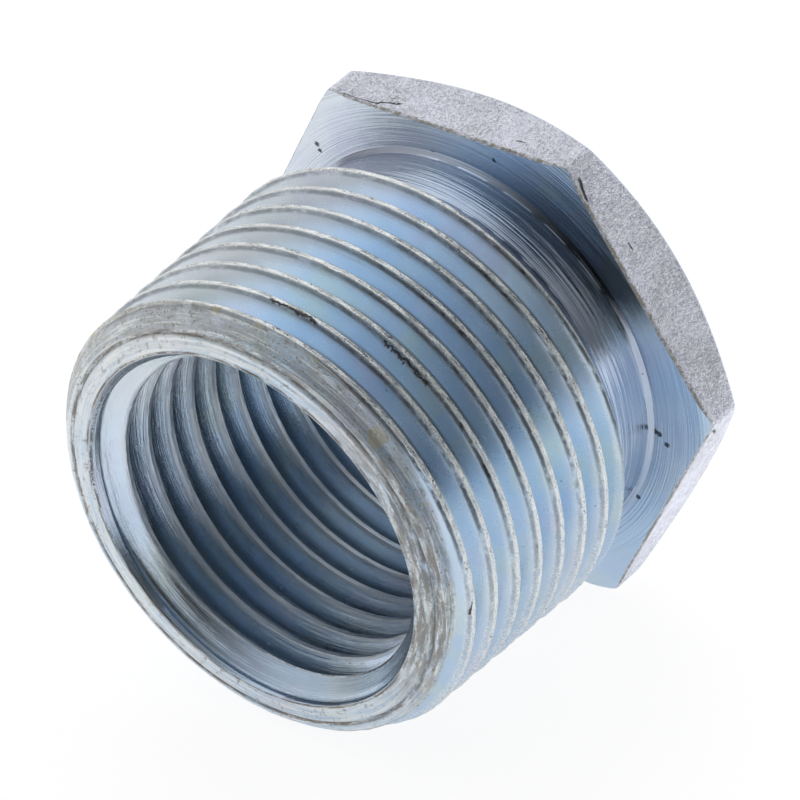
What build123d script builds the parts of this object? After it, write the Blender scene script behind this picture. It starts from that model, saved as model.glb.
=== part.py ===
"""Hex bushing, 3/4 x 1/2: a hexagon flange, a tapered pipe thread outside and a bore for a parallel pipe thread.

One piece, turned from hexagon bar. The axis lies along X, with the nose towards +X and one hexagon flat
facing down. The origin is on the axis, in the plane of the flange's front face. Lengths are millimetres.
The outer thread is cut in full. The inner thread is a plain bore here, as wide as its crests.
"""
import os
from math import atan, ceil, cos, degrees, radians, sqrt, tan

from build123d import *
from build123d.topology import SkipClean

# Flange
across_flats = 27.0
flange_thickness = 4.1
back_inset = 0.7             # how far inside the flats the back face's rim lies
back_chamfer_angle = 35.0    # the turned back corners, in degrees from the back face
front_inset = 0.7            # how far inside the corners the front corner break starts
front_break_angle = 20.0     # in degrees from the front face

# Shank
threaded_length = 15.9
neck_length = 2.9
neck_wall = 1.12             # between the neck and the bottom of the inner thread
neck_bevel = 0.25            # in the corner between the neck and the flange
nose_chamfer = 0.82

# Pipe threads, 14 to the inch, with 55 degree flanks
pitch = 25.4 / 14
flank_angle = 27.5           # between each flank and a plane across the axis
depth_in_pitches = 0.640327  # of the standard thread form
flat_in_pitches = 1 / 6      # the crest's and root's width, where the full form rounds them
outer_major_diameter = 26.441
gauge_length = 9.525         # from the nose face to where the taper has that diameter
taper = 1 / 16               # of diameter, over length
inner_major_diameter = 20.955

# Mouths of the bore
mouth_margin = 0.02          # how far each mouth is wider than the inner thread's bottom
mouth_cone_angle = 42.0      # between a countersink's wall and the axis
lip_depth = 0.5              # of the steep step round the nose's mouth
lip_inset = 0.3

# Where the outer groove crosses the +Y side nearest the flange, measured from the flange's front face
outer_groove_start = 1.62
arcs_per_turn = 8            # that its helices are drawn in

# Worked out from the sizes above
shank_length = neck_length + threaded_length
thread_depth = depth_in_pitches * pitch
crest_flat = flat_in_pitches * pitch
taper_slope = taper / 2
inner_major_radius = inner_major_diameter / 2
bore_radius = inner_major_radius - thread_depth
neck_radius = inner_major_radius + neck_wall
mouth_radius = inner_major_radius + mouth_margin
corner_radius = across_flats / sqrt(3)
OVERRUN = 0.25               # how far a cutter reaches past the surface that it opens


def crest_radius(x):
    """Radius of the outer thread's crests, which grow from the nose towards the flange."""
    return outer_major_diameter / 2 + (shank_length - gauge_length - x) * taper_slope


def turned(*outline):
    """Solid of revolution about the axis, from (x, radius) points."""
    return revolve(make_face(Polyline(*outline, close=True)), Axis.X)


def flange():
    """Hexagon with its back corners turned away, and a light turned break at its front corners."""
    hexagon = RegularPolygon(across_flats / 2, 6, major_radius=False)
    bar = extrude(Plane.YZ.offset(-flange_thickness) * hexagon, flange_thickness)
    back_radius = across_flats / 2 - back_inset
    front_radius = corner_radius - front_inset
    clear_radius = corner_radius + OVERRUN
    back_edge = (clear_radius - back_radius) * tan(radians(back_chamfer_angle)) - flange_thickness
    front_edge = -(clear_radius - front_radius) * tan(radians(front_break_angle))
    envelope = turned(
        (-flange_thickness, 0),
        (-flange_thickness, back_radius),
        (back_edge, clear_radius),
        (front_edge, clear_radius),
        (0, front_radius),
        (0, 0),
    )
    return bar & envelope


def shank():
    """Tapered blank of the outer thread, with its nose chamfer and the smooth neck behind it."""
    chamfer_back = shank_length - nose_chamfer
    shoulder = neck_length + crest_radius(neck_length) - neck_radius
    return turned(
        (-flange_thickness / 2, 0),
        (-flange_thickness / 2, neck_radius),
        (-neck_bevel, neck_radius),
        (0, neck_radius + neck_bevel),
        (neck_bevel, neck_radius),
        (neck_length, neck_radius),
        (shoulder, crest_radius(shoulder)),
        (chamfer_back, crest_radius(chamfer_back)),
        (shank_length, crest_radius(shank_length) - nose_chamfer),
        (shank_length, 0),
    )


def bore():
    """Hole as wide as the inner thread's crests, with a countersink at each end and a lip at the nose."""
    back = -flange_thickness
    spread = tan(radians(mouth_cone_angle))
    lip_radius = mouth_radius - lip_inset
    lip_end = shank_length - lip_depth
    lip_slope = lip_inset / lip_depth
    return turned(
        (back - OVERRUN, 0),
        (back - OVERRUN, mouth_radius + OVERRUN * spread),
        (back + (mouth_radius - bore_radius) / spread, bore_radius),
        (lip_end - (lip_radius - bore_radius) / spread, bore_radius),
        (lip_end, lip_radius),
        (shank_length + OVERRUN, mouth_radius + OVERRUN * lip_slope),
        (shank_length + OVERRUN, 0),
    )


def long_edge(along, radius, angle, arc):
    """One long edge of the outer groove, over an arc of its helix starting at angle, both in degrees.

    along is its place along the axis where the angle is 0, and radius is its radius there.
    """
    advance = pitch * angle / 360
    foot = (along + advance, 0, 0)
    lean = atan(taper_slope)
    wound = radius - advance * taper_slope
    coil = Edge.make_helix(pitch / cos(lean), pitch * arc / 360, wound, foot, (1, 0, 0), -degrees(lean))
    return coil.rotate(Axis.X, angle - 90)


def groove_end(edges, at):
    """Flat face across the groove, at the start of its edges where at is 0 and at their end where it is 1."""
    return make_face(Polyline(*[edge @ at for edge in edges], close=True)).face()


def outer_groove():
    """Groove of the tapered thread, wound on four helices from over the neck to past the nose."""
    height = thread_depth + OVERRUN
    half_bottom = crest_flat / 2
    half_top = half_bottom + height * tan(radians(flank_angle))
    bottom = crest_radius(outer_groove_start) - thread_depth
    corners = [
        (outer_groove_start - half_bottom, bottom),
        (outer_groove_start + half_bottom, bottom),
        (outer_groove_start + half_top, bottom + height),
        (outer_groove_start - half_top, bottom + height),
    ]
    turns = ceil((shank_length - outer_groove_start) / pitch) + 1
    arc = 360 / arcs_per_turn
    faces = []
    for count in range(arcs_per_turn * turns):
        edges = [long_edge(along, radius, count * arc, arc) for along, radius in corners]
        for one, other in zip(edges, edges[1:] + edges[:1]):
            faces.append(Face.make_surface_from_curves(one, other))
        if count == 0:
            faces.append(groove_end(edges, 0))
    faces.append(groove_end(edges, 1))
    return Solid(Shell(Face.sew_faces(faces)[0]))


def bushing():
    body = flange() + shank() - bore()
    with SkipClean():
        return body - outer_groove()


if __name__ == "__main__":
    os.makedirs("parts", exist_ok=True)
    part = bushing()
    part.label = "bushing"
    export_step(part, "parts/bushing.step")
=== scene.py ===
"""Hex bushing in bright zinc plate, lying on one flat of its hexagon on a pale floor.

Sizes are millimetres and angles are radians until a mesh is made. The axis is X, the nose is at +X, and
angles run from +Y towards +Z.
"""

import math

import bpy
import numpy as np
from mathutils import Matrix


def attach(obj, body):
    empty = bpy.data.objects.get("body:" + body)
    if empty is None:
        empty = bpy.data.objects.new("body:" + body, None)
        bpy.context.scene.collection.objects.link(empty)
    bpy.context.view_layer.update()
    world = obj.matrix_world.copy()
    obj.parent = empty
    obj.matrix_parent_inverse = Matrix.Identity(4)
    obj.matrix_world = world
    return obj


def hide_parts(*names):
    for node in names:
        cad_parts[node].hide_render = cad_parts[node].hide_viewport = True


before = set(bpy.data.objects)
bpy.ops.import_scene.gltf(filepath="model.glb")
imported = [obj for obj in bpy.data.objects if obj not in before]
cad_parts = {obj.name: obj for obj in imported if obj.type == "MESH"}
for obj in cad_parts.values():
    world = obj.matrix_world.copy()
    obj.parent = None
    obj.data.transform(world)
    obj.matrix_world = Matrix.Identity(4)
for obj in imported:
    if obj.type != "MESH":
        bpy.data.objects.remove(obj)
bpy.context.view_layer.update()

# Flange
ACROSS_FLATS = 27.0
BACK = -4.1
BACK_RIM = 12.8
BACK_CHAMFER = math.tan(math.radians(35))
FRONT_BREAK_RADIUS = 14.888
FRONT_BREAK = math.tan(math.radians(20))
EDGE = 0.09                  # width of the rounding between the front face and the flats
CORNER_POWER = 120           # the higher, the sharper the hexagon's corners

# Shank
NOSE = 18.8
NECK_RADIUS = 11.5975
NECK_END = 2.9
NECK_BEVEL = 0.25
CHAMFER_START = 17.6
CHAMFER_SLOPE = 0.9
NOSE_ROUND = 18.42

# Threads
NOSE_CREST = 12.923          # radius of the outer crests at the nose
TAPER = 1 / 32               # how much that radius grows for each millimetre back from the nose
PITCH = 25.4 / 14
DEPTH = 0.640327 * PITCH
OUTER_CREST = 2.527
INNER_CREST = 18.02
INNER_ROOT_RADIUS = 10.4775
BORE_RADIUS = INNER_ROOT_RADIUS - DEPTH

# Mouths of the bore
MOUTH_RADIUS = INNER_ROOT_RADIUS + 0.02
MOUTH_CONE = math.tan(math.radians(42))
LIP_RADIUS = MOUTH_RADIUS - 0.3
LIP_START = NOSE - 0.5
LIP_SLOPE = 0.6
BACK_RINGS = (12.6, 12.0, 11.4, 10.8)

COLUMNS = 396                # of each mesh, round the axis
SHARP_EDGE = math.radians(38)
WANDER_VALUES = 4096         # drawn for each random line, which repeats after them
ROW_SLACK = 1e-6
SAME_PLACE = 1e-7            # rows this near each other share their vertices
MM = 0.001


# ---------------------------------------------------------------- shapes

def crest_radius(x):
    return NOSE_CREST + (NOSE - x) * TAPER


def wander(t, seed, step=1.0):
    """Smooth random line from -1 to 1, with a new value at each step of t."""
    values = np.random.RandomState(seed).uniform(-1, 1, WANDER_VALUES)
    t = np.asarray(t) / step
    whole = np.floor(t).astype(int)
    part = t - whole
    part = part * part * (3 - 2 * part)
    return values[whole % WANDER_VALUES] * (1 - part) + values[(whole + 1) % WANDER_VALUES] * part


def ease(low, high, t):
    t = np.clip((np.asarray(t) - low) / (high - low), 0, 1)
    return t * t * (3 - 2 * t)


def from_crest(x, angle, crest):
    """Distance along the axis from the nearest crest's middle, and that crest's number."""
    turns = (x - crest - PITCH * angle / (2 * math.pi)) / PITCH
    number = np.round(turns)
    return (turns - number) * PITCH, number


# Sections of the threads from a crest's middle to a groove's, as (distance along the axis, depth)
OUTER_FORM = ((0.0, 0.030), (0.05, 0.0), (0.10, 0.021), (0.15, 0.050), (0.20, 0.100), (0.27, 0.230),
              (0.45, 0.576), (0.63, 0.920), (0.70, 1.043), (0.76, 1.113), (0.83, 1.150), (PITCH / 2, DEPTH))
INNER_FORM = ((0.0, 0.0), (0.12, 0.0), (0.17, 0.04), (0.27, 0.230), (0.45, 0.576), (0.63, 0.920),
              (0.70, 1.043), (0.80, 1.140), (PITCH / 2, DEPTH))


def form_rows(form, crest, start, end):
    """Places along the axis, at angle 0, of the rows that follow a thread's form between start and end."""
    offsets = sorted({s * u for u, _ in form for s in (1, -1)} - {-PITCH / 2})
    low = math.floor((start - PITCH - crest) / PITCH) - 1
    high = math.ceil((end - crest) / PITCH) + 1
    rows = [crest + PITCH * n + u for n in range(low, high + 1) for u in offsets]
    per_pitch = len(offsets)
    rows = np.array([x for x in rows if start - PITCH <= x])
    last = int(np.searchsorted(rows, end + ROW_SLACK)) + 1
    return rows[:last], per_pitch


def coiled_sheet(form, crest, start, end, radius):
    """Vertices and faces of a turned surface whose rows wind round with the thread."""
    rows, per_pitch = form_rows(form, crest, start, end)
    angles = np.arange(COLUMNS) * 2 * math.pi / COLUMNS
    x = rows[:, None] + PITCH * angles[None, :] / (2 * math.pi)
    x = np.clip(x, start, end)
    across = np.broadcast_to(angles, x.shape)
    r = radius(x, across)
    points = np.stack([x, r * np.cos(across), r * np.sin(across)], -1)
    count = len(rows)
    index = np.arange(count * COLUMNS).reshape(count, COLUMNS)
    for row in range(1, count):
        same = x[row] - x[row - 1] < SAME_PLACE
        index[row] = np.where(same, index[row - 1], index[row])
    shifted = np.minimum(np.arange(count) + per_pitch, count - 1)
    seam = index[shifted, 0]
    index = np.concatenate([index, seam[:, None]], 1)
    return points.reshape(-1, 3), index


def ring_sheet(rows):
    """Vertices and index grid of rows of (x, radius) arrays, one value to a column."""
    angles = np.arange(COLUMNS) * 2 * math.pi / COLUMNS
    points = []
    for x, r in rows:
        x, r = np.broadcast_to(x, angles.shape), np.broadcast_to(r, angles.shape)
        points.append(np.stack([x, r * np.cos(angles), r * np.sin(angles)], -1))
    index = np.arange(len(rows) * COLUMNS).reshape(len(rows), COLUMNS)
    return np.concatenate(points), np.concatenate([index, index[:, :1]], 1)


def faces_of(index):
    """Faces between neighbouring rows of an index grid, without the empty ones."""
    a, b = index[:-1, :-1].ravel(), index[:-1, 1:].ravel()
    c, d = index[1:, 1:].ravel(), index[1:, :-1].ravel()
    faces, rows = [], []
    width = index.shape[1] - 1
    for n, corners in enumerate(zip(a.tolist(), b.tolist(), c.tolist(), d.tolist())):
        kept = list(dict.fromkeys(corners))
        if len(kept) > 2:
            faces.append(kept)
            rows.append(n // width)
    return faces, rows


def piece(name, points, index, finishes, finish_of_row=None, flip=False):
    faces, rows = faces_of(index)
    used = np.unique(np.concatenate([np.array(f) for f in faces]))
    renumber = np.full(len(points), -1)
    renumber[used] = np.arange(len(used))
    faces = [[int(renumber[v]) for v in (reversed(f) if flip else f)] for f in faces]
    mesh = bpy.data.meshes.new(name)
    mesh.from_pydata((points[used] * MM).tolist(), [], faces)
    mesh.validate()
    for finish in finishes:
        mesh.materials.append(finish)
    if finish_of_row is not None:
        mesh.polygons.foreach_set("material_index", [finish_of_row[r] for r in rows])
    mesh.shade_smooth()
    mesh.set_sharp_from_angle(angle=SHARP_EDGE)
    obj = bpy.data.objects.new(name, mesh)
    bpy.context.scene.collection.objects.link(obj)
    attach(obj, "root")
    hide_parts("bushing")


def blank_radius(x):
    """The shank before its thread is cut: bevel, neck, shoulder, taper and nose chamfer."""
    shoulder = NECK_RADIUS + np.maximum(x - NECK_END, 0)
    bevel = NECK_RADIUS + np.maximum(NECK_BEVEL - x, 0)
    chamfer = crest_radius(CHAMFER_START) - (x - CHAMFER_START) * CHAMFER_SLOPE
    body = np.minimum(np.minimum(shoulder, crest_radius(x)), chamfer)
    return np.where(x < NECK_BEVEL, bevel, body)


def shank_radius(x, angle):
    away, number = from_crest(x, angle, OUTER_CREST)
    along = angle + 2 * math.pi * number
    depth = np.interp(np.abs(away), [u for u, _ in OUTER_FORM], [d for _, d in OUTER_FORM])
    run_out = ease(NECK_END + 0.6, NECK_END + 2.4, x)
    top = np.exp(-(away / 0.16) ** 2)
    tool = 0.012 * wander(x, 7, 0.09) * ease(0.2, 0.5, x) * ease(5.2, 4.4, x)
    worn = 0.016 * wander(along, 3, 0.05) + 0.02 * wander(along, 4, 0.017)
    knocks = np.maximum(wander(along, 5, 0.06) - 0.72, 0) * 0.35
    lean = 0.018 * wander(along + away * 2, 6, 0.03) * top
    threaded = crest_radius(x) - depth * run_out + top * (worn - 0.03 - knocks) + lean
    nose_wear = 0.025 * wander(angle * 13 + x * 3, 8, 0.6) * ease(CHAMFER_START, CHAMFER_START + 0.2, x)
    nose_rings = 0.02 * wander(x, 9, 0.12) * ease(CHAMFER_START, CHAMFER_START + 0.2, x)
    return np.minimum(threaded, blank_radius(x) + tool + nose_wear + nose_rings)


def mouth_radius(x):
    """The countersinks and the lip at the nose."""
    lip = LIP_RADIUS + (x - LIP_START) * LIP_SLOPE
    nose = np.where(x > LIP_START, lip, LIP_RADIUS - (LIP_START - x) * MOUTH_CONE)
    back = MOUTH_RADIUS - (x - BACK) * MOUTH_CONE
    return np.maximum(nose, back)


def bore_radius(x, angle):
    away, number = from_crest(x, angle, INNER_CREST)
    along = angle + 2 * math.pi * number
    depth = np.interp(np.abs(away), [u for u, _ in INNER_FORM], [d for _, d in INNER_FORM])
    top = np.exp(-(away / 0.2) ** 2)
    worn = 0.012 * wander(along, 13, 0.05) + 0.012 * wander(along + away, 14, 0.02)
    streaks = 0.01 * wander(away, 15, 0.05)
    return np.maximum(BORE_RADIUS + depth + top * worn + streaks, mouth_radius(x))


def hexagon_radius(angle):
    """Distance from the axis to the flats, with the corners just rounded."""
    total = 0
    for n in range(6):
        facing = np.cos(angle - math.radians(60 * n + 30))
        total = total + np.maximum(facing, 0) ** CORNER_POWER
    return ACROSS_FLATS / 2 * total ** (-1 / CORNER_POWER)


def dent(x, angle, at_x, at_angle, length, width, turn):
    """Bowl from 1 at a place on the surface to 0 outside it; length runs round the part when turn is 0."""
    round_part = (angle - math.radians(at_angle)) * DENT_RADIUS
    along_part = x - at_x
    c, s = math.cos(turn), math.sin(turn)
    one, two = round_part * c + along_part * s, along_part * c - round_part * s
    return np.exp(-(one / length) ** 4 - (two / width) ** 2)


DENT_RADIUS = 14             # where dents have their true length round the part

# Dents in the flats: depth, place along the axis, angle in degrees, length, width, turn
FLAT_DENTS = (
    (0.20, -1.00, 105.4, 0.45, 0.26, 0.4),
    (0.08, -0.28, 111.5, 1.7, 0.16, -0.1),
    (0.14, -0.30, 55.8, 0.75, 0.20, 0.15),
    (0.05, -1.9, 86.0, 0.22, 0.18, 0.0),
    (0.04, -2.2, 72.0, 0.3, 0.16, 0.6),
)


ON_FRONT, ON_FLATS, ON_BACK = range(3)   # the flange's finishes, in their order


def flange_sheet():
    """The front face, the flats, then the turned back corners and the back face as far as the bore."""
    angles = np.arange(COLUMNS) * 2 * math.pi / COLUMNS
    full = hexagon_radius(angles)
    rough = 0.02 * wander(angles, 21, 0.02) + 0.025 * wander(angles, 22, 0.11)

    def front(r):
        return -np.maximum(r - FRONT_BREAK_RADIUS, 0) * FRONT_BREAK

    edge = EDGE + rough * 0.8
    rows, kinds = [], []
    inner = NECK_RADIUS + NECK_BEVEL
    for t in np.concatenate([np.linspace(0, 0.9, 16), [0.96, 1.0]]):
        r = inner + (full - edge - inner) * t
        rows.append((front(r), r))
        kinds.append(ON_FRONT)
    front_x = front(full) - edge
    back_x = BACK + (full - BACK_RIM) * BACK_CHAMFER + 0.05
    for t in np.concatenate([[0, 0.02], np.linspace(0.05, 0.97, 26), [1.0]]):
        x = front_x + (back_x - front_x) * t
        r = full - 0.012 * wander(x * 3 + angles * 40, 23, 1.0) * (t > 0) * (t < 1)
        r = r - 0.02 * (t in (0, 1))
        for depth, *shape in FLAT_DENTS:
            r = r - depth * dent(x, angles, *shape)
        rows.append((x, np.minimum(r, full)))
        kinds.append(ON_FLATS)
    for t in np.linspace(0.02, 1, 10):
        r = full - 0.05 + (BACK_RIM - full + 0.05) * t
        rows.append((BACK + (r - BACK_RIM) * BACK_CHAMFER, r))
        kinds.append(ON_BACK)
    for r in (*BACK_RINGS, mouth_radius(BACK)):
        rows.append((BACK, r))
        kinds.append(ON_BACK)
    points, index = ring_sheet(rows)
    return points, index, kinds[1:]


# The nose face's section, as (radius, distance back from the nose): a worn round, then steps and rings
NOSE_FORM = ((12.05, 0.26), (11.96, 0.19), (11.86, 0.15), (11.78, 0.155), (11.70, 0.20), (11.62, 0.21),
             (11.54, 0.12), (11.46, 0.055), (11.38, 0.05), (11.30, 0.075), (11.22, 0.07), (11.12, 0.03),
             (11.02, 0.012), (10.92, 0.0), (10.82, 0.0), (10.72, 0.01), (10.64, 0.03), (10.57, 0.035))


def nose_sheet():
    angles = np.arange(COLUMNS) * 2 * math.pi / COLUMNS
    rim = shank_radius(np.full(COLUMNS, NOSE_ROUND), angles)
    mouth = bore_radius(np.full(COLUMNS, NOSE), angles)
    rows = [(NOSE_ROUND, rim)]
    for n, (radius, back) in enumerate(NOSE_FORM):
        drift = 0.03 * wander(angles * 3 + math.pi, 32 + n // 3, 0.9) * np.sin(angles / 2) ** 2
        chips = np.maximum(wander(angles, 41 + n // 2, 0.04) - 0.55, 0) * 0.09
        level = back + abs(drift) + chips
        rows.append((NOSE - level * (back > 0), np.minimum(radius, rim - 0.02 - 0.01 * n)))
    rows.append((NOSE, mouth))
    return ring_sheet(rows)


# ---------------------------------------------------------------- finishes

class Number:
    """A shader value. Expressions on it add their Math nodes."""

    def __init__(self, nodes, socket):
        self.nodes, self.socket = nodes, socket

    def math(self, operation, *others):
        return self.nodes.math(operation, self, *others)

    def __add__(self, other):
        return self.math("ADD", other)

    def __radd__(self, other):
        return self.math("ADD", other)

    def __sub__(self, other):
        return self.math("SUBTRACT", other)

    def __rsub__(self, other):
        return self.nodes.math("SUBTRACT", other, self)

    def __mul__(self, other):
        return self.math("MULTIPLY", other)

    def __rmul__(self, other):
        return self.math("MULTIPLY", other)

    def __truediv__(self, other):
        return self.math("DIVIDE", other)

    def __rtruediv__(self, other):
        return self.nodes.math("DIVIDE", other, self)

    def __abs__(self):
        return self.math("ABSOLUTE")

    def most(self, other):
        return self.math("MAXIMUM", other)

    def ease(self, low, high):
        """0 at low to 1 at high, smoothly; low may be the larger."""
        backwards = low > high
        node = self.nodes.node("ShaderNodeMapRange", {"interpolation_type": "SMOOTHSTEP", "clamp": True}, {
            "Value": self, "From Min": min(low, high), "From Max": max(low, high),
            "To Min": 1 if backwards else 0, "To Max": 0 if backwards else 1})
        return self.nodes.number(node.outputs[0])


class Nodes:
    """The node tree of a material or a world, and the one way to add to it."""

    def __init__(self, owner):
        owner.use_nodes = True
        self.tree = owner.node_tree
        self.tree.nodes.clear()

    def node(self, kind, settings=None, inputs=None):
        node = self.tree.nodes.new(kind)
        for key, value in (settings or {}).items():
            setattr(node, key, value)
        for key, value in (inputs or {}).items():
            self.put(node.inputs[key], value)
        return node

    def put(self, socket, value):
        if isinstance(value, Number):
            self.tree.links.new(value.socket, socket)
        elif isinstance(value, bpy.types.NodeSocket):
            self.tree.links.new(value, socket)
        elif isinstance(value, tuple) and len(value) == 3 and socket.type == "RGBA":
            socket.default_value = (*value, 1)
        else:
            socket.default_value = value

    def number(self, socket):
        return Number(self, socket)

    def math(self, operation, *values):
        node = self.node("ShaderNodeMath", {"operation": operation}, dict(enumerate(values)))
        return self.number(node.outputs[0])

    def camera_sees(self):
        """1 for rays that come straight from the camera, otherwise 0."""
        return self.number(self.node("ShaderNodeLightPath").outputs["Is Camera Ray"])


class Finish(Nodes):
    """A material being made: places on the part in millimetres, noises, colours and its shader."""

    def __init__(self, name):
        self.material = bpy.data.materials.new(name)
        super().__init__(self.material)
        place = self.node("ShaderNodeTexCoord").outputs["Object"]
        self.place = self.scaled(place, (1000, 1000, 1000))
        parts = self.node("ShaderNodeSeparateXYZ", inputs={"Vector": self.place})
        self.x, y, z = (self.number(parts.outputs[n]) for n in range(3))
        self.radius = (y * y + z * z).math("SQRT")
        self.angle = z.math("ARCTAN2", y)

    def scaled(self, vector, scale):
        return self.node("ShaderNodeVectorMath", {"operation": "MULTIPLY"}, {0: vector, 1: scale}).outputs[0]

    def unrolled(self, along, around, outward):
        """The place as (x, length round the part, radius), each scaled: streaks follow the tool's path.

        The strip's ends don't join up: noise on it has a seam on the -Y side, at half a turn.
        """
        node = self.node("ShaderNodeCombineXYZ", inputs={
            "X": self.x * along, "Y": self.angle * (STREAK_RADIUS * around), "Z": self.radius * outward})
        return node.outputs[0]

    def noise(self, size, detail=3, rough=0.6, place=None, distortion=0.0):
        node = self.node("ShaderNodeTexNoise", {"noise_dimensions": "3D"}, {
            "Vector": place or self.place, "Scale": 1 / size, "Detail": detail, "Roughness": rough,
            "Distortion": distortion})
        return self.number(node.outputs["Fac"])

    def mix(self, amount, one, two):
        return self.node("ShaderNodeMix", {"data_type": "RGBA"}, {0: amount, 6: one, 7: two}).outputs[2]

    def from_crest(self, crest):
        """Distance along the axis from the nearest crest's middle, positive towards the nose."""
        turns = (self.x - crest - self.angle * (PITCH / (2 * math.pi))) / PITCH
        return (turns - turns.math("ROUND")) * PITCH

    def bump(self, height, distance, strength=1.0, under=None):
        inputs = {"Height": height, "Distance": distance * MM, "Strength": strength}
        if under is not None:
            inputs["Normal"] = under
        return self.node("ShaderNodeBump", inputs=inputs).outputs["Normal"]

    def done(self, colour, roughness, normal, metallic=1.0):
        shader = self.node("ShaderNodeBsdfPrincipled", inputs={
            "Base Color": colour, "Roughness": roughness, "Metallic": metallic, "Normal": normal})
        self.node("ShaderNodeOutputMaterial", inputs={"Surface": shader.outputs[0]})
        return self.material


STREAK_RADIUS = 12           # where streaks have their true length
SCRATCH_RADIUS = 13.0        # where scratches and line marks have theirs

BLUE_ZINC = (0.49, 0.63, 0.79)
PALE_ZINC = (0.63, 0.74, 0.85)
GREEN_ZINC = (0.58, 0.69, 0.68)
VIOLET_ZINC = (0.60, 0.62, 0.76)
# Dark zinc in the bore's streaks; on the neck it is painted shade.
DARK_ZINC_AND_SHADE = (0.26, 0.29, 0.40)
PALE_GREY = (0.67, 0.71, 0.75)
RUBBED = (0.86, 0.88, 0.87)
WORN = (0.56, 0.57, 0.56)
STAIN = (0.16, 0.13, 0.10)
OLIVE = (0.26, 0.24, 0.18)
TAN = (0.62, 0.56, 0.50)
SOOT_AND_SHADOW = (0.035, 0.03, 0.03)
GRIME_AND_SHADOW = (0.085, 0.09, 0.095)
WORN_GREY = (0.44, 0.42, 0.38)
OCHRE = (0.58, 0.53, 0.34)
PALE_LAND = (0.70, 0.73, 0.76)
ROOT_SHADE = (0.13, 0.17, 0.20)
FLAT_DULL = (0.62, 0.64, 0.72)
FLAT_BRIGHT = (0.80, 0.82, 0.94)
FLAT_GRIT = (0.96, 0.97, 1.0)
FLAT_PIT = (0.27, 0.27, 0.29)


def plate_colour(make):
    """The zinc: blue, drifting to pale, greenish and violet. A stretch round the top, centred at about 126
    degrees, is also made greyer and paler.
    """
    drift = make.noise(7.0, 2, 0.5)
    tint = make.noise(4.0, 2, 0.5, distortion=0.6)
    base = make.mix(drift.ease(0.35, 0.7), BLUE_ZINC, PALE_ZINC)
    base = make.mix(abs(make.angle - 2.2).ease(0.9, 0.3) * 0.8, base, PALE_GREY)
    base = make.mix(tint.ease(0.52, 0.70) * 0.5, base, GREEN_ZINC)
    return make.mix(tint.ease(0.46, 0.30) * 0.45, base, VIOLET_ZINC)


def specks(make, size):
    """Sparse small dark dots."""
    return make.noise(size, 1, 0.5).ease(0.79, 0.84)


def line_mark(make, start, end, width, waver):
    """1 on a thin line mark between two places, each (along the axis, angle in degrees), and 0 off it."""
    turn_start, turn_end = math.radians(start[1]), math.radians(end[1])
    run, rise = end[0] - start[0], (turn_end - turn_start) * SCRATCH_RADIUS
    length = math.hypot(run, rise)
    run, rise = run / length, rise / length
    turns = (make.angle - turn_start) / (2 * math.pi)
    turned = (turns - turns.math("ROUND")) * (2 * math.pi * SCRATCH_RADIUS)
    out = make.x - start[0]
    along = out * run + turned * rise
    across = out * rise - turned * run
    across = across + (make.noise(0.35, 2, 0.6) - 0.5) * waver
    inside = abs(along - length / 2).ease(length / 2 + width, length / 2 - width)
    return abs(across).ease(width, width * 0.35) * inside


def all_marks(make, marks):
    total = 0.0
    for mark in marks:
        total = line_mark(make, *mark).most(total)
    return total


def spots_at(make, spots):
    """1 on the given round spots, each (place in millimetres, radius), with ragged rims."""
    ragged = (make.noise(0.15, 2, 0.6) - 0.5) * 0.25
    total = 0.0
    for place, size in spots:
        apart = make.node("ShaderNodeVectorMath", {"operation": "DISTANCE"}, {0: make.place, 1: place})
        total = (make.number(apart.outputs["Value"]) + ragged).ease(size, size * 0.5).most(total)
    return total


# Line marks, each (start, end, half width, waver), with a place as (along the axis, angle in degrees)
THREAD_MARKS = (
    # The first three lie on the nose side of crests: dark lines, partly grime and partly painted shadow.
    ((15.80, 86), (15.76, 81), 0.07, 0.30),
    ((15.76, 81), (15.70, 73), 0.13, 0.40),
    ((13.98, 60), (13.90, 46), 0.07, 0.35),
    ((4.20, 13.5), (4.18, 10.5), 0.08, 0.10),
    ((17.15, 356.5), (17.25, 353.0), 0.05, 0.10),
    ((3.35, 40), (3.20, 26), 0.09, 0.35),
)
# Spots on the flange's front face, each (place, radius)
FACE_SPOTS = (
    ((0.0, -8.85, 9.75), 0.20), ((0.0, -8.70, 9.40), 0.17), ((0.0, -0.94, 11.74), 0.20),
    ((0.0, -0.98, 11.45), 0.17), ((0.0, 11.80, -1.50), 0.24), ((0.0, 12.05, -1.58), 0.24),
    ((0.0, 12.50, -2.13), 0.20), ((0.0, 10.20, -6.30), 0.20), ((0.0, 3.10, 12.60), 0.15),
)
# Line marks on the flats
EDGE_MARKS = (
    ((-0.20, 116.5), (-0.30, 109.0), 0.045, 0.16),
    ((-0.30, 109.0), (-0.72, 106.3), 0.06, 0.16),
    ((-0.72, 106.6), (-0.95, 105.0), 0.15, 0.20),
    ((-0.52, 57.5), (-0.30, 53.4), 0.09, 0.14),
    ((-0.95, 73.6), (-1.05, 71.8), 0.05, 0.20),
    ((-1.20, 41.4), (-1.32, 39.6), 0.05, 0.20),
    ((-0.35, -1.5), (-0.95, -4.1), 0.10, 0.20),
)


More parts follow.
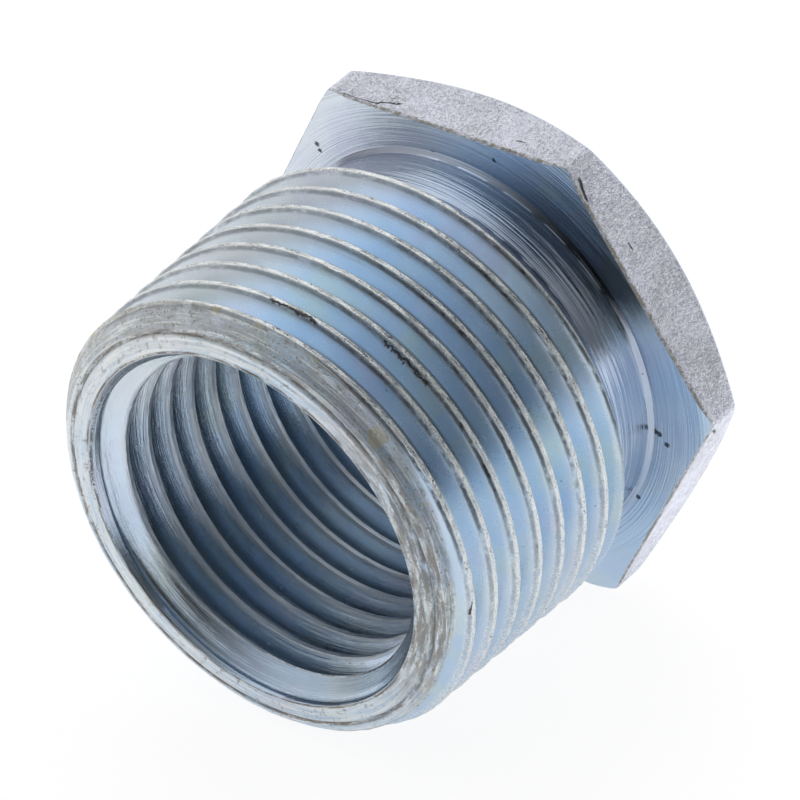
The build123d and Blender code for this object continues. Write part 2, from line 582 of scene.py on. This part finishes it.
def worn_crests(make, colour, on_thread, grain, coarse, patch, chips):
    """Pale broken line along each crest; on its nose side bright grains low down, and grime with painted
    shadow; a tan stain behind it.

    Gives the colour, and how much of each place is crest, rubbed plate, grime with painted shadow, and soot
    with painted shadow.
    """
    wavy = make.from_crest(OUTER_CREST) + (chips - 0.5) * 0.10
    ridge = abs(wavy).ease(0.19, 0.11) * on_thread
    mottle = grain * 0.55 + chips * 0.55
    rubbed = ridge * mottle.ease(0.44, 0.60)
    colour = make.mix(ridge * 0.5, colour, WORN)
    colour = make.mix(rubbed, colour, RUBBED)
    torn = ridge * (mottle * 0.8 + patch * 0.3).ease(0.52, 0.44)
    colour = make.mix(torn * 0.85, colour, STAIN)
    # Pale grains on the flank beside each crest, on the lower half only.
    pale_low_grains = abs(wavy - 0.20).ease(0.20, 0.06) * on_thread * abs(make.angle + 1.0).ease(1.3, 0.8)
    colour = make.mix(pale_low_grains * grain.ease(0.42, 0.58) * 0.7, colour, RUBBED)
    # Painted shadow, partly grime: a dark line on the nose side of each crest, over the upper side,
    # strongest from about 25 to 60 degrees.
    grime_and_shadow_side = abs(wavy - 0.23).ease(0.09, 0.02) * on_thread * abs(make.angle - 1.2).ease(1.9, 1.1)
    grime_and_shadow_side = grime_and_shadow_side * (0.45 + abs(make.angle - 0.75).ease(0.75, 0.3) * 0.55)
    grime_and_shadow = grime_and_shadow_side * (patch * 0.6 + chips * 0.5).ease(0.40, 0.60)
    colour = make.mix(grime_and_shadow * 0.9, colour, GRIME_AND_SHADOW)
    flange_side = abs(wavy + 0.24).ease(0.10, 0.03) * on_thread
    colour = make.mix(flange_side * coarse.ease(0.35, 0.65) * 0.45, colour, TAN)
    # Black on torn crests, and painted shadow with soot on the crests' nose side.
    soot_and_shadow = grime_and_shadow_side.most(torn * 0.8) * (patch * 0.7 + chips * 0.5).ease(0.70, 0.78)
    return colour, ridge, rubbed, grime_and_shadow, soot_and_shadow


def worn_nose(make, colour, nose, grey, grain, chips):
    """Worn grey chamfer at the nose, scratched round, with brown and ochre stains."""
    colour = make.mix(grey * 0.55, colour, WORN_GREY)
    scratch = nose * make.noise(1.0, 2, 0.7, make.unrolled(9, 0.25, 9)).ease(0.54, 0.62)
    colour = make.mix(scratch * 0.75, colour, RUBBED)
    brown = nose * (chips * 0.7 + grain * 0.4).ease(0.60, 0.68)
    colour = make.mix(brown * 0.7, colour, OLIVE)
    ochre = nose * make.noise(1.3, 2, 0.5).ease(0.62, 0.70)
    return make.mix(ochre * 0.5, colour, OCHRE)


def threaded_finish():
    make = Finish("zinc_on_outer_thread")
    under = NOSE_CREST + NOSE * TAPER - make.x * TAPER - make.radius
    on_thread = make.x.ease(3.4, 4.6) * under.ease(0.7, 0.4)
    nose = make.x.ease(CHAMFER_START - 0.1, CHAMFER_START + 0.05)
    neck = make.x.ease(4.6, 3.4)
    grain = make.noise(0.12, 3, 0.7)
    coarse = make.noise(0.8, 3, 0.65)
    patch = make.noise(3.2, 3, 0.6)
    streak = make.noise(1.0, 3, 0.6, make.unrolled(14, 0.35, 14))
    chips = make.noise(0.3, 3, 0.75, make.unrolled(1.6, 0.6, 1.0))
    lines = make.noise(1.0, 2, 0.6, make.unrolled(8, 0.09, 8))

    colour = plate_colour(make)
    colour, ridge, rubbed, grime_and_shadow, soot_and_shadow = worn_crests(make, colour, on_thread, grain, coarse, patch, chips)
    # Line marks; those beside crests are partly painted shadow.
    marks = all_marks(make, THREAD_MARKS)
    soot_and_shadow = soot_and_shadow.most(marks)
    # Black: soot, line marks and torn crests, with painted shadow beside the crests.
    colour = make.mix(soot_and_shadow * 0.92, colour, SOOT_AND_SHADOW)
    grey = nose * (coarse * 0.5 + grain * 0.6).ease(0.38, 0.66)
    colour = worn_nose(make, colour, nose, grey, grain, chips)
    colour = make.mix(specks(make, 0.45) * 0.8, colour, SOOT_AND_SHADOW)
    # Painted shade: the neck, between the flange and the threads, darkened all round.
    colour = make.mix(neck * (0.35 + streak * 0.4), colour, DARK_ZINC_AND_SHADE)

    roughness = 0.24 + coarse * 0.08 + rubbed * 0.2 + grime_and_shadow * 0.35 + grey * 0.25 - neck * 0.12
    fine = make.bump(lines, 0.035, 0.15 + neck * 0.85)
    relief = grain * (0.04 + ridge * 1.2 + nose * 1.4) + chips * (ridge + nose) * 1.5 + streak * 0.2 - marks
    normal = make.bump(relief, 0.03, 1.0, fine)
    metallic = 1 - grime_and_shadow.most(soot_and_shadow) * 0.8 - grey * 0.3
    return make.done(colour, roughness, normal, metallic)


def turned_finish():
    """Faces across the axis, with the tool's rings in them."""
    make = Finish("zinc_on_turned_faces")
    grain = make.noise(0.13, 3, 0.7)
    rings = make.noise(1.0, 3, 0.8, make.unrolled(0.3, 0.03, 6))
    colour = plate_colour(make)
    on_nose = make.x.ease(18.0, 18.4)
    worn = make.noise(1.0, 3, 0.7, make.unrolled(1, 0.3, 6))
    colour = make.mix(worn.ease(0.36, 0.60) * on_nose * 0.8, colour, RUBBED)
    low = abs(make.radius - 11.68).ease(0.18, 0.05).most(abs(make.radius - 10.60).ease(0.09, 0.04))
    low = low.most(abs(make.angle - 0.1).ease(1.1, 0.3) * 0.85)
    blots = make.noise(0.6, 3, 0.7, make.unrolled(1, 0.4, 2.5)) + grain * 0.3
    rim_dirt = low * on_nose * blots.ease(0.48, 0.74)
    colour = make.mix(rim_dirt * 0.8, colour, STAIN)
    spots = on_nose * (make.noise(0.35, 3, 0.7) * 0.8 + grain * 0.4).ease(0.66, 0.76)
    colour = make.mix(spots * 0.6, colour, OLIVE)
    colour = make.mix(specks(make, 0.25).most(spots_at(make, FACE_SPOTS)) * 0.9, colour, SOOT_AND_SHADOW)
    roughness = 0.17 + grain * 0.06 + on_nose * 0.25
    relief = rings * (1.0 - on_nose * 0.5) + grain * (0.05 + on_nose * 1.0)
    normal = make.bump(relief, 0.05, 1.0)
    return make.done(colour, roughness, normal, 1 - rim_dirt.most(spots) * 0.6)


def flat_finish():
    """Drawn hexagon bar under the plate: matt and granular, with stained edges."""
    make = Finish("zinc_on_flats")
    grain = make.noise(0.26, 2, 0.7)
    fine = make.noise(0.11, 2, 0.6)
    cloud = make.noise(2.5, 3, 0.6)
    colour = make.mix(cloud.ease(0.3, 0.7), FLAT_DULL, FLAT_BRIGHT)
    grit = grain * 0.6 + fine * 0.5
    colour = make.mix(grit.ease(0.50, 0.70) * 0.8, colour, FLAT_GRIT)
    pits = grit.ease(0.53, 0.40)
    colour = make.mix(pits * 0.42, colour, FLAT_PIT)
    ragged = make.x + (grain - 0.5) * 0.5
    edge = ragged.ease(-0.26, -0.10) * (grain * 0.6 + cloud * 0.5).ease(0.42, 0.62)
    colour = make.mix(edge * 0.8, colour, OLIVE)
    marks = all_marks(make, EDGE_MARKS)
    colour = make.mix(specks(make, 0.3).most(marks) * 0.92, colour, SOOT_AND_SHADOW)
    normal = make.bump(grain * 1.1 + fine * 0.7 - marks * 1.5, 0.16, 1.0)
    return make.done(colour, 0.44 + grain * 0.15, normal, 1 - edge.most(marks) * 0.6)


def back_finish():
    make = Finish("zinc_on_back")
    grain = make.noise(0.2, 3, 0.7)
    rings = make.noise(1.0, 3, 0.75, make.unrolled(2, 0.04, 5))
    colour = plate_colour(make)
    colour = make.mix(specks(make, 0.3) * 0.8, colour, SOOT_AND_SHADOW)
    return make.done(colour, 0.3 + grain * 0.1, make.bump(rings + grain * 0.3, 0.05, 1.0), 1.0)


def bore_finish():
    make = Finish("zinc_in_bore")
    away = make.from_crest(INNER_CREST)
    land = make.radius.ease(BORE_RADIUS + 0.25, BORE_RADIUS + 0.05)
    grain = make.noise(0.13, 3, 0.7)
    coarse = make.noise(0.9, 3, 0.6)
    streak = make.noise(1.0, 3, 0.75, make.unrolled(9, 0.10, 9))
    colour = plate_colour(make)
    colour = make.mix(land * streak.ease(0.42, 0.58) * 0.8, colour, PALE_LAND)
    colour = make.mix(land * streak.ease(0.48, 0.36) * 0.6, colour, DARK_ZINC_AND_SHADE)
    dirt = abs(away + 0.2).ease(0.12, 0.03) * (coarse * 0.6 + grain * 0.5).ease(0.50, 0.64)
    colour = make.mix(dirt * 0.8, colour, STAIN)
    # Painted shade: the inner thread's roots darkened, except at the nose end.
    shaded_roots = make.radius.ease(BORE_RADIUS + 0.5, INNER_ROOT_RADIUS) * make.x.ease(17.6, 17.0)
    colour = make.mix(shaded_roots * 0.7, colour, ROOT_SHADE)
    colour = make.mix(specks(make, 0.22) * 0.9, colour, SOOT_AND_SHADOW)
    normal = make.bump(streak * (0.6 + land * 0.6) + grain * (0.15 + land * 0.5), 0.045, 1.0)
    return make.done(colour, 0.22 + coarse * 0.08 + land * 0.12, normal, 1 - dirt * 0.6)


# ---------------------------------------------------------------- the part

threaded = threaded_finish()
turned = turned_finish()
flats = flat_finish()
back = back_finish()
bored = bore_finish()

points, index = coiled_sheet(OUTER_FORM, OUTER_CREST, 0.0, NOSE_ROUND, shank_radius)
piece("shank", points, index, [threaded])

points, index = coiled_sheet(INNER_FORM, INNER_CREST, BACK, NOSE, bore_radius)
piece("bore", points, index, [bored], flip=True)

points, index = nose_sheet()
piece("nose_face", points, index, [turned])

points, index, kinds = flange_sheet()
piece("flange", points, index, [turned, flats, back], kinds)


# ---------------------------------------------------------------- floor, light and camera

# The floor touches the lowest flat and, at the nose, the outer crests
LEAN = math.atan2(ACROSS_FLATS / 2 - crest_radius(CHAMFER_START), CHAMFER_START)
FLOOR_HALF = 1.2             # metres


def floor_finish():
    """Pale board, lit through from behind the flange. A glare softens its shadow for the camera."""
    make = Finish("pale_floor")
    pale = make.mix(make.noise(60.0, 2, 0.5) * 0.1, (0.86, 0.86, 0.87), (0.83, 0.83, 0.84))
    board = make.node("ShaderNodeBsdfPrincipled", inputs={"Base Color": pale, "Roughness": 0.6})
    through = 0.48 + make.x.ease(30, -40) * 0.30
    glow = make.node("ShaderNodeEmission", inputs={"Color": through, "Strength": 1.0})
    lit = make.node("ShaderNodeAddShader", inputs={0: board.outputs[0], 1: glow.outputs[0]})
    glare = make.node("ShaderNodeEmission", inputs={"Color": (1, 1, 1), "Strength": 1.0})
    surface = make.node("ShaderNodeMixShader", inputs={
        0: make.camera_sees() * 0.8, 1: lit.outputs[0], 2: glare.outputs[0]})
    make.node("ShaderNodeOutputMaterial", inputs={"Surface": surface.outputs[0]})
    return make.material


def lay_floor():
    mesh = bpy.data.meshes.new("floor")
    corners = [(a * FLOOR_HALF, b * FLOOR_HALF) for a, b in ((-1, -1), (1, -1), (1, 1), (-1, 1))]
    level = -ACROSS_FLATS / 2 * MM
    mesh.from_pydata([(x, y, level + x * math.tan(LEAN)) for x, y in corners], [], [(0, 1, 2, 3)])
    mesh.materials.append(floor_finish())
    floor = bpy.data.objects.new("floor", mesh)
    bpy.context.scene.collection.objects.link(floor)


# The light tent's bright places: direction from the part, and brightness
TENT = (
    ((-0.27, 0.25, 0.93), 0.50),
    ((0.04, -0.46, 0.89), 0.95),
    ((-0.60, -0.11, 0.80), 0.60),
    ((0.56, -0.36, 0.75), 0.25),
    ((-0.18, 0.69, 0.70), 0.34),
    ((-0.35, -0.67, 0.66), 0.80),
    ((-0.78, -0.45, 0.43), 0.60),
    ((-0.54, 0.77, 0.34), 0.23),
    ((-0.12, -0.95, 0.30), 0.40),
    ((0.70, -0.70, 0.16), 0.70),
    ((-0.64, -0.77, 0.07), 0.25),
)
SHARPNESS = 10.0


def light_room():
    world = bpy.data.worlds.new("light_tent")
    bpy.context.scene.world = world
    room = Nodes(world)
    where = room.node("ShaderNodeTexCoord").outputs["Generated"]
    level = 0.0
    for direction, brightness in TENT:
        toward = room.node("ShaderNodeVectorMath", {"operation": "DOT_PRODUCT"}, {0: where, 1: direction})
        falloff = (room.number(toward.outputs["Value"]) * SHARPNESS - SHARPNESS).math("EXPONENT")
        level = falloff * brightness + level
    seen = room.camera_sees()
    background = room.node("ShaderNodeBackground", inputs={
        "Color": level * (1 - seen) + seen, "Strength": 1.0})
    room.node("ShaderNodeOutputWorld", inputs={"Surface": background.outputs[0]})


CAMERA_PLACE = (0.258856, 0.225045, 0.239583)   # metres
CAMERA_ANGLES = (54.5014, 6.0464, 127.3803)     # degrees about X, Y and Z


def set_camera():
    camera = bpy.data.cameras.new("camera")
    camera.sensor_width = 36
    camera.lens = 360
    camera.clip_start = 0.01
    obj = bpy.data.objects.new("camera", camera)
    bpy.context.scene.collection.objects.link(obj)
    obj.location = CAMERA_PLACE
    obj.rotation_euler = [math.radians(angle) for angle in CAMERA_ANGLES]
    bpy.context.scene.camera = obj


lay_floor()
light_room()
set_camera()

scene = bpy.context.scene
scene.view_settings.view_transform = "Standard"
